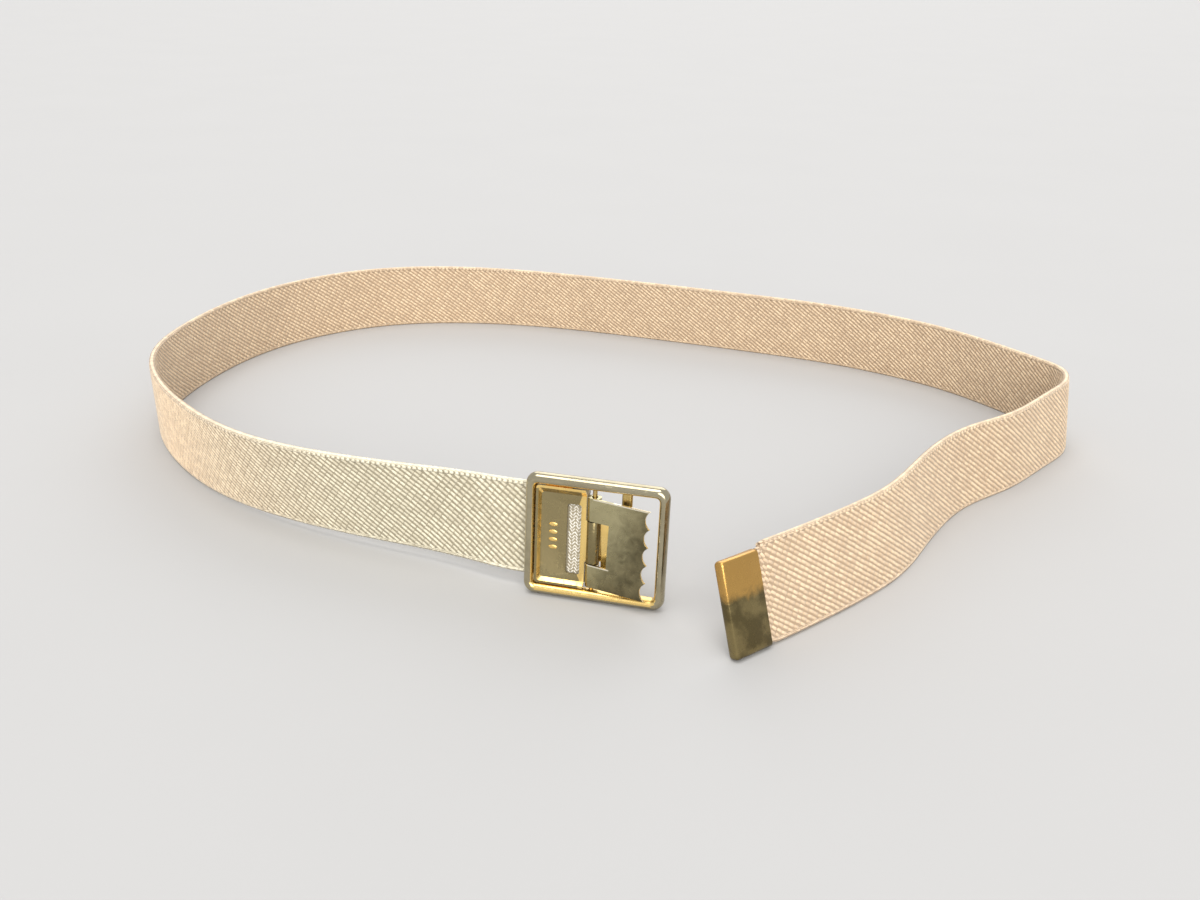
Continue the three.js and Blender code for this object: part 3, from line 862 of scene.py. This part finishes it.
    def lay_field(self, name: str, field: FloatRows, yarn: bpy.types.Material) -> Item:
        """Return one field of floats as a plain mesh."""
        columns = int((field.until_mm - field.from_mm) / field.column_pitch_mm)
        values = {
            "Rows": field.rows, "Columns": columns, "Seed": field.seed,
            "First Row": field.first_row_mm * MM, "Row Pitch": field.row_pitch_mm * MM,
            "First Column": field.from_mm * MM, "Column Pitch": field.column_pitch_mm * MM,
            "Row Shift": field.row_shift, "Depth": field.depth_mm * MM,
            "Roll": math.radians(field.side.value), "Float Angle": math.radians(field.angle_deg),
            "Float Length": field.length_mm * MM / 2, "Float Width": field.width_mm * MM / 2,
            "Float Height": field.height_mm * MM, "Looseness": field.looseness,
            "Float": self.float_shape, "Yarn": yarn,
        }
        holder = self.guide()
        modifier = holder.modifiers.new("floats", "NODES")
        modifier.node_group = self.tree
        for item in self.tree.interface.items_tree:
            wanted = item.item_type == "SOCKET" and item.in_out == "INPUT"
            if wanted and item.name in values:
                modifier[item.identifier] = values[item.name]
        return applied(holder, name)

    def clear(self) -> None:
        """Remove the float's own shape once every field is laid."""
        bpy.data.objects.remove(self.float_shape)


@dataclass
class Webbing:
    """The strap: a core with rolled selvedges under a twill of floats on both faces."""

    route: WebRoute
    core_half_mm: float = 0.9
    roll_half_mm: float = 1.12
    section_step_mm: float = 3.0
    end_space_mm: float = 1.2
    rib_angle_deg: float = 36.0
    column_pitch_mm: float = 2.77
    row_pitch_mm: float = 1.342
    rows: int = 22
    sunk_mm: float = 0.02
    twill_past_draw_mm: float = 9.0
    binding_past_draw_mm: float = 7.0
    side_binding_mm: float = 0.8
    edge_binding_mm: float = 0.55
    first_binding_seed: int = 60
    fold_mm: float = 1.25
    fold_end_mm: float = 6.6
    fold_run_mm: float = 2.4
    stitch_angles_deg: tuple[float, ...] = (52.0, -52.0, 52.0, -52.0)
    stitch_from_mm: float = 1.95
    stitch_step_mm: float = 1.15
    stitch_run_mm: float = 3.5
    first_stitch_seed: int = 80

    def fold_at(self, at: float) -> float:
        """Return how much thicker the folded, stitched end is at a place along the webbing."""
        return self.fold_mm * (1 - smooth_step((at - self.fold_end_mm) / self.fold_run_mm))

    def half_section(self) -> list[tuple[float, float]]:
        """Return the outer half of the section: height up the width, and depth."""
        roll, core, width = self.roll_half_mm, self.core_half_mm, self.route.width_mm
        lower = [(0.0, 0.35), (0.12, 0.68), (0.4, roll * 0.93), (0.75, roll), (1.1, roll * 0.95),
                 (1.35, core * 0.97), (1.9, core), (9.0, core)]
        return lower + [(16.0, core)] + [(width - v, w) for v, w in reversed(lower)]

    def build_core(self, palette: Palette) -> Item:
        """Return the closed core, carried along the route, with its place along the belt stored."""
        route = self.route
        end = route.length_mm - self.end_space_mm
        near, far = self.fold_end_mm + self.fold_run_mm, route.draw_start_mm
        stations = route.stations(0.75, near) + route.stations(self.section_step_mm, far, near)[1:]
        stations += route.stations(0.5, far + route.tip_draw_run_mm, far)[1:]
        stations += route.stations(self.section_step_mm, end, far + route.tip_draw_run_mm)[1:]
        half = self.half_section()
        outline = half + [(v, -w) for v, w in reversed(half)]
        points = []
        for s in stations:
            low, high = route.edges_mm(s.at_mm)
            fold = self.fold_at(s.at_mm)
            for v, w in outline:
                height = low + v * (high - low) / route.width_mm
                depth = w + fold if w > 0 else w
                points.append(s.point + (s.up * height + s.outward * depth) * MM)
        size = len(outline)
        faces = bands(size, list(range(len(stations))))
        last = (len(stations) - 1) * size
        faces += [tuple(reversed(range(size))), tuple(range(last, last + size))]
        core = mesh_object("webbing_core", points, faces)
        face_outwards(core.data)
        # Painted shade between the floats.
        core.data.materials.append(palette[Finish.CORE_SHADE])
        places = [s.at_mm * MM for s in stations for _ in outline]
        add_attribute(core.data, "along", "FLOAT", places)
        add_attribute(core.data, "tone", "FLOAT", [0.5] * len(points))
        return core

    def twill(self, side: Side) -> FloatRows:
        """Return the twill on one face; its ribs fall to the right on both."""
        span = (self.rows - 1) * self.row_pitch_mm
        low = (self.route.width_mm - span) / 2
        outer = side is Side.OUTER
        return FloatRows(
            side=side, first_row_mm=low if outer else low + span,
            row_pitch_mm=self.row_pitch_mm if outer else -self.row_pitch_mm, rows=self.rows,
            column_pitch_mm=self.column_pitch_mm, row_shift=2 / 3,
            depth_mm=self.core_half_mm - self.sunk_mm, angle_deg=-self.rib_angle_deg,
            length_mm=2.62, width_mm=1.46, height_mm=0.36,
            until_mm=self.route.draw_start_mm + self.twill_past_draw_mm, seed=3 if outer else 5)

    def edge_rows(self) -> list[FloatRows]:
        """Return the single rows that bind both selvedges."""
        width, side_in, edge_in = self.route.width_mm, self.side_binding_mm, self.edge_binding_mm
        beside = FloatRows(
            side=Side.OUTER, first_row_mm=side_in, row_pitch_mm=1.0, rows=1, column_pitch_mm=1.9,
            row_shift=0.0, depth_mm=self.roll_half_mm - 0.13, angle_deg=0.0, length_mm=2.7,
            width_mm=1.4, height_mm=0.15,
            until_mm=self.route.draw_start_mm + self.binding_past_draw_mm,
            seed=self.first_binding_seed, looseness=0.02)
        over = replace(
            beside, depth_mm=0.5, length_mm=2.6, width_mm=1.9, height_mm=0.26, from_mm=2.0)
        rows = [replace(beside, side=side, first_row_mm=height, from_mm=start)
                for side in (Side.OUTER, Side.INNER)
                for height, start in ((side_in, 1.4), (width - side_in, 2.4))]
        rows += [replace(over, side=side, first_row_mm=height)
                 for side, height in ((Side.TOP, width - edge_in), (Side.BOTTOM, edge_in))]
        return [replace(row, seed=row.seed + i) for i, row in enumerate(rows)]

    def slot_rows(self) -> list[FloatRows]:
        """Return the zigzag binding of the cut end, seen through the plate's slot."""
        depth = self.core_half_mm + self.fold_mm - self.sunk_mm
        rows = []
        for column, angle in enumerate(self.stitch_angles_deg):
            start = self.stitch_from_mm + self.stitch_step_mm * column
            rows.append(FloatRows(
                side=Side.OUTER, first_row_mm=3.2, row_pitch_mm=1.12, rows=23, column_pitch_mm=3.0,
                row_shift=0.0, depth_mm=depth, angle_deg=angle, length_mm=1.7, width_mm=0.66,
                height_mm=0.34, from_mm=start, until_mm=start + self.stitch_run_mm,
                looseness=0.08, seed=self.first_stitch_seed + column))
        return rows

    def build(self, palette: Palette) -> None:
        """Build the core and its floats and put them on the belt."""
        core = self.build_core(palette)
        weaver = FloatWeaver(self.route)
        outer = weaver.lay("outer_twill", [self.twill(Side.OUTER)], palette[Finish.FLOATS])
        inner = weaver.lay("inner_twill", [self.twill(Side.INNER)], palette[Finish.FLOATS])
        edges = weaver.lay("selvedges", self.edge_rows(), palette[Finish.SELVEDGE])
        stitches = weaver.lay("end_binding", self.slot_rows(), palette[Finish.STITCH])
        weaver.clear()
        finish_piece(core, "belt", "strap")
        for piece in (outer, inner, edges, stitches):
            finish_piece(piece, "belt")


# --------------------------------------------------------------------- buckle


@dataclass
class BuckleRing:
    """The cast ring: a rounded section carried round a rounded rectangle."""

    axes: BuckleAxes
    width_mm: float = 47.0
    height_mm: float = 41.5
    window_width_mm: float = 40.4
    window_height_mm: float = 34.3
    outer_radius_mm: float = 3.8
    inner_radius_mm: float = 1.2
    back_mm: float = -3.8
    front_mm: float = 1.2
    outer_squareness: float = 1.95
    inner_squareness: float = 2.5
    # Where the painted gold reflection starts across the section; further out on the bottom bar.
    gold_reflection_from: float = 0.8
    gold_reflection_from_below: float = 0.5
    section_points: int = 28
    corner_points: int = 12

    def loop(self, inset: float, depth: float) -> list[Vector]:
        """Return one loop round the ring, from 0 at its outer side to 1 at the window."""
        width = self.width_mm + (self.window_width_mm - self.width_mm) * inset
        height = self.height_mm + (self.window_height_mm - self.height_mm) * inset
        radius = self.outer_radius_mm + (self.inner_radius_mm - self.outer_radius_mm) * inset
        points = []
        for corner, (side_x, side_y) in enumerate(((1, -1), (1, 1), (-1, 1), (-1, -1))):
            x, y = side_x * (width / 2 - radius), side_y * (height / 2 - radius)
            for k in range(self.corner_points + 1):
                angle = math.radians(90 * (corner - 1 + k / self.corner_points))
                out_x, out_y = radius * math.cos(angle), radius * math.sin(angle)
                points.append(Vector((x + out_x, y + out_y, depth)))
        return points

    def lowness(self, number: int) -> float:
        """Return 1 for a loop's points on the bottom bar, less in its corners and 0 elsewhere."""
        corner, step = divmod(number, self.corner_points + 1)
        turned = step / self.corner_points
        return {0: 1 - turned, 3: turned}.get(corner, 0.0)

    def section(self) -> list[tuple[float, float]]:
        """Return the section as insets and depths, a rounded box."""
        middle, half = (self.front_mm + self.back_mm) / 2, (self.front_mm - self.back_mm) / 2
        points = []
        for k in range(self.section_points):
            angle = 2 * math.pi * (k + 0.5) / self.section_points
            across, out = math.cos(angle), math.sin(angle)
            power = 2 / (self.outer_squareness if across > 0 else self.inner_squareness)
            inset = 0.5 - 0.5 * math.copysign(abs(across) ** power, across)
            points.append((inset, middle + half * math.copysign(abs(out) ** power, out)))
        return points

    def build(self, palette: Palette) -> None:
        """Build the ring in place of its solid, with a painted gold reflection on its inner wall
        that reaches further over the bottom bar.
        """
        section = self.section()
        loops = [self.loop(inset, depth) for inset, depth in section]
        size, matrix = len(loops[0]), self.axes.matrix()
        points = [matrix @ point for loop in loops for point in loop]
        faces = bands(size, [*range(len(loops)), 0])
        ring = mesh_object("buckle_ring", points, faces)
        face_outwards(ring.data)
        for finish in (Finish.RING, Finish.GOLD_REFLECTION):
            ring.data.materials.append(palette[finish])
        insets = [(a[0] + b[0]) / 2 for a, b in zip(section, section[1:] + section[:1])]
        for polygon in ring.data.polygons:
            i, k = divmod(polygon.index, size)
            # Painted gold reflection on the inner wall, wider on the bottom bar's highlight.
            gold_reflection_from = self.gold_reflection_from + (self.gold_reflection_from_below - self.gold_reflection_from) * self.lowness(k)
            polygon.material_index = int(insets[i] > gold_reflection_from)
        finish_piece(ring, "belt", "buckle_frame")


@dataclass
class BackPlate:
    """The pressed plate with its slot, and the row of four plain pips on its floor."""

    axes: BuckleAxes
    node: Item
    bevel_mm: float = 0.16
    floor_mm: float = -1.6
    floor_left_mm: float = -18.3
    floor_heights_mm: tuple[float, float] = (-15.1, 16.0)
    strip_from_mm: float = -5.05
    strip_to_mm: float = -3.3
    curl_from_mm: float = 1.2
    pip_across_mm: float = -14.2
    pip_pitch_mm: float = 2.6
    pip_lowest_mm: float = -4.3
    pip_count: int = 4
    pip_size_mm: tuple[float, float, float] = (1.45, 0.7, 0.3)

    def finish_of(self, middle: Vector, normal: Vector) -> Finish:
        """Return a face's finish: painted gold reflection on the walls, strip and rolled end, olive
        floor, and painted shade on the knuckle.
        """
        # Painted gold reflection on the rolled end, the strip beside the slot and the walls.
        if middle.x > self.curl_from_mm:
            return Finish.GOLD_REFLECTION
        # Painted shade on the knuckle under the lever's hinge.
        if middle.x > self.strip_to_mm:
            return Finish.KNUCKLE_SHADE
        if middle.x > self.strip_from_mm and normal.z > -0.5:
            return Finish.GOLD_REFLECTION
        low, high = self.floor_heights_mm
        on_floor = middle.x > self.floor_left_mm and low < middle.y < high
        return Finish.PLATE if on_floor else Finish.GOLD_REFLECTION

    def pips(self) -> Item:
        """Return the row of low oval pips."""
        work = bmesh.new()
        for i in range(self.pip_count):
            height = self.pip_lowest_mm + i * self.pip_pitch_mm
            place = Matrix.Translation((self.pip_across_mm, height, self.floor_mm))
            shape = place @ Matrix.Diagonal((*self.pip_size_mm, 1.0))
            bmesh.ops.create_uvsphere(
                work, u_segments=20, v_segments=10, radius=1.0, matrix=self.axes.matrix() @ shape)
        mesh = bpy.data.meshes.new("plate_pips")
        work.to_mesh(mesh)
        work.free()
        shade_smooth(mesh)
        return linked("plate_pips", mesh)

    def build(self, palette: Palette) -> None:
        """Build the plate with softened edges, and its pips."""
        matrix = self.axes.matrix()
        cut = (matrix @ Vector((self.strip_from_mm, 0, 0)), matrix.to_3x3() @ Vector((1, 0, 0)))
        plate = bevelled_copy(self.node, "stamped_plate", self.bevel_mm, cuts=(cut,))
        dress(plate, palette, self.finish_of, matrix)
        finish_piece(plate, "belt", "back_plate")
        pips = self.pips()
        # The pips carry painted glints in the gold reflection finish.
        pips.data.materials.append(palette[Finish.GOLD_REFLECTION])
        finish_piece(pips, "belt")


@dataclass
class ClampLever:
    """The toothed lever, darker brown towards its teeth and its foot, with painted highlights along
    its top rim and its window's lip.
    """

    axes: BuckleAxes
    node: Item
    bevel_mm: float = 0.3
    hinge_across_mm: float = -1.0
    reach_mm: float = 19.7
    height_mm: float = 30.4
    middle_mm: float = -0.8
    window_reach_mm: float = 6.0
    window_height_mm: float = 14.9
    # Width of the painted highlight strips along the top rim and the window's lip.
    highlight_band_mm: float = 0.45
    askew_deg: float = 1.6
    open_deg: float = 11.0
    barrel_mm: float = 2.4
    darken_across: float = 0.8
    darken_down: float = 0.5
    darken_clear: float = 0.08

    def finish_of(self, middle: Vector, normal: Vector) -> Finish:
        """Return a face's finish: the sheet's cut edges are brighter than its faces, and painted
        highlight strips run along its top rim and under its window.
        """
        turn = math.radians(self.open_deg)
        level = abs(normal.x * -math.sin(turn) + normal.z * math.cos(turn))
        past_barrel = middle.x > self.hinge_across_mm + self.barrel_mm
        height, across = self.along_sheet(middle)
        # Painted highlight strip under the window's lower edge.
        lip = -self.window_height_mm / 2 - self.highlight_band_mm < height < -self.window_height_mm / 2
        if lip and across < self.window_reach_mm + self.highlight_band_mm:
            return Finish.LEVER_EDGE_AND_HIGHLIGHT
        # Cut edges are lighter brass; the band along the top rim is a painted highlight.
        edge_or_highlight = level < 0.9 or height > self.height_mm / 2 - self.highlight_band_mm
        return Finish.LEVER_EDGE_AND_HIGHLIGHT if past_barrel and edge_or_highlight else Finish.LEVER

    def sheet_axes(self) -> tuple[Vector, Vector, Vector]:
        """Return the sheet's middle on the hinge, its way up and its way out."""
        turn = math.radians(self.askew_deg)
        up = Vector((math.sin(turn), math.cos(turn), 0))
        out = Vector((math.cos(turn), -math.sin(turn), 0))
        return Vector((self.hinge_across_mm, self.middle_mm, 0)), up, out

    def along_sheet(self, place: Vector) -> tuple[float, float]:
        """Return a place's height on the sheet and how far it is from the hinge."""
        middle, up, out = self.sheet_axes()
        return (place - middle).dot(up), (place - middle).dot(out)

    def cuts(self) -> tuple[tuple[Vector, Vector], ...]:
        """Return the planes that part the painted highlight strips along the upper rim and the
        window's lip.
        """
        middle, up, out = self.sheet_axes()
        lip = -self.window_height_mm / 2
        lines = [(up, self.height_mm / 2 - self.highlight_band_mm), (up, lip), (up, lip - self.highlight_band_mm),
                 (out, self.window_reach_mm + self.highlight_band_mm)]
        matrix = self.axes.matrix()
        turn = matrix.to_3x3()
        return tuple((matrix @ (middle + way * far), (turn @ way).normalized())
                     for way, far in lines)

    def build(self, palette: Palette) -> None:
        """Build the lever with softened edges in place of its solid."""
        matrix = self.axes.matrix()
        lever = bevelled_copy(self.node, "clamp_lever", self.bevel_mm, cuts=self.cuts())
        dress(lever, palette, self.finish_of, matrix)
        to_buckle = matrix.inverted()
        darkness_values = []
        for vertex in lever.data.vertices:
            place = to_buckle @ vertex.co
            across = (place.x - self.hinge_across_mm) / self.reach_mm
            down = 0.5 - place.y / self.height_mm
            darkened = self.darken_across * across + self.darken_down * down - self.darken_clear
            darkness_values.append(smooth_step(darkened))
        add_attribute(lever.data, "darkening", "FLOAT", darkness_values)
        finish_piece(lever, "lever", "toothed_lever")


@dataclass
class SmallBrass:
    """The cross bar and the hinge pin, carried over from their solids."""

    cross_bar: Item
    hinge_pin: Item

    def build(self, palette: Palette) -> None:
        """Give both their brass."""
        for node in (self.cross_bar, self.hinge_pin):
            node.data.materials.clear()
            node.data.materials.append(palette[Finish.BAR])
            LOG.info("%s: the solid, in brass", node.name)


@dataclass
class TipCap:
    """The folded tip, warm at its top and darker below, where a dark reflection is painted."""

    node: Item
    bevel_mm: float = 0.15
    painted_reflection_at_foot: float = 1.15

    def build(self, palette: Palette) -> None:
        """Build the cap with softened edges in place of its solid."""
        cap = bevelled_copy(self.node, "tip_cap", self.bevel_mm)
        cap.data.materials.append(palette[Finish.TIP])
        heights = [vertex.co.z for vertex in cap.data.vertices]
        low, high = min(heights), max(heights)
        # Painted dark reflection, growing towards the cap's foot.
        darkness_values = [self.painted_reflection_at_foot * (1 - (z - low) / (high - low)) for z in heights]
        add_attribute(cap.data, "darkening", "FLOAT", darkness_values)
        finish_piece(cap, "belt", "strap_tip")


# --------------------------------------------------------------------- studio


@dataclass(frozen=True)
class SoftLight:
    """A wide soft light far away, so that it lights the whole floor evenly."""

    name: str
    towards: tuple[float, float, float]
    strength: float
    spread_deg: float
    colour: Colour = (1.0, 1.0, 1.0)

    def build(self) -> None:
        """Add the light to the scene."""
        data = bpy.data.lights.new(self.name, "SUN")
        data.energy = self.strength
        data.angle = math.radians(self.spread_deg)
        data.color = self.colour
        lamp = linked(self.name, data)
        lamp.location = self.towards
        lamp.rotation_euler = Vector(self.towards).to_track_quat("Z", "Y").to_euler()


@dataclass(frozen=True)
class Studio:
    """The floor, the lights and the camera."""

    camera_place: tuple[float, float, float] = (-0.00398, -0.471105, 0.19804)
    camera_pitch_deg: float = 66.822
    camera_roll_deg: float = 1.126
    lens_mm: float = 35.99
    floor_size: float = 30.0
    floor_colour: Colour = (0.48, 0.475, 0.47)
    sky_colour: Colour = (0.97, 0.98, 1.0)
    sky_strength: float = 0.76
    lights: tuple[SoftLight, ...] = (
        SoftLight("overhead", (-0.12, -0.05, 0.93), 1.3, 38.0, (1.0, 0.99, 0.97)),
        SoftLight("front", (0.08, -0.85, 0.45), 2.0, 45.0, (1.0, 0.97, 0.92)),
        SoftLight("back", (0.1, 0.82, 0.5), 0.9, 50.0),
    )

    def build_floor(self) -> None:
        """Lay the plain floor."""
        half = self.floor_size / 2
        corners = [Vector((x, y, 0.0))
                   for x, y in ((-half, -half), (half, -half), (half, half), (-half, half))]
        floor = mesh_object("floor", corners, [(0, 1, 2, 3)])
        material, sketch, shader = start_material("floor_paper")
        noise = sketch.noise(sketch.add("ShaderNodeTexCoord").outputs["Object"], 9.0, 3.0)
        dimmer = tuple(0.97 * part for part in self.floor_colour)
        colour = sketch.blended(noise, rgba(dimmer), rgba(self.floor_colour))
        sketch.wire(shader, {"Base Color": colour})
        shader.inputs["Roughness"].default_value = 0.9
        floor.data.materials.append(material)

    def build_camera(self) -> None:
        """Set up the camera at the photograph's angle."""
        data = bpy.data.cameras.new("camera")
        data.sensor_width = 36.0
        data.lens = self.lens_mm
        data.clip_start = 0.01
        camera = linked("camera", data)
        pitch = Matrix.Rotation(math.radians(self.camera_pitch_deg), 4, "X")
        roll = Matrix.Rotation(math.radians(self.camera_roll_deg), 4, "Z")
        camera.matrix_world = Matrix.Translation(self.camera_place) @ pitch @ roll
        bpy.context.scene.camera = camera

    def build(self) -> None:
        """Build all of it."""
        world = bpy.data.worlds.new("studio_sky")
        world.use_nodes = True
        world.node_tree.nodes.clear()
        sketch = NodeSketch(world.node_tree)
        sky = sketch.add("ShaderNodeBackground", {
            "Color": rgba(self.sky_colour), "Strength": self.sky_strength})
        sketch.add("ShaderNodeOutputWorld", {"Surface": sky})
        bpy.context.scene.world = world
        bpy.context.scene.view_settings.view_transform = "Standard"
        self.build_floor()
        for light in self.lights:
            light.build()
        self.build_camera()


# ----------------------------------------------------------------------- main


def main() -> None:
    """Build the studio and every piece of the belt."""
    logging.basicConfig(level=logging.INFO, format="%(name)s: %(message)s")
    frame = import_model()
    nodes = frame["nodes"]
    Studio().build()
    palette = Palette()
    axes = BuckleAxes()
    Webbing(WebRoute(axes)).build(palette)
    BuckleRing(axes).build(palette)
    BackPlate(axes, nodes["back_plate"]).build(palette)
    ClampLever(axes, nodes["toothed_lever"]).build(palette)
    SmallBrass(nodes["cross_bar"], nodes["hinge_pin"]).build(palette)
    TipCap(nodes["strap_tip"]).build(palette)


if __name__ == "__main__":
    main()
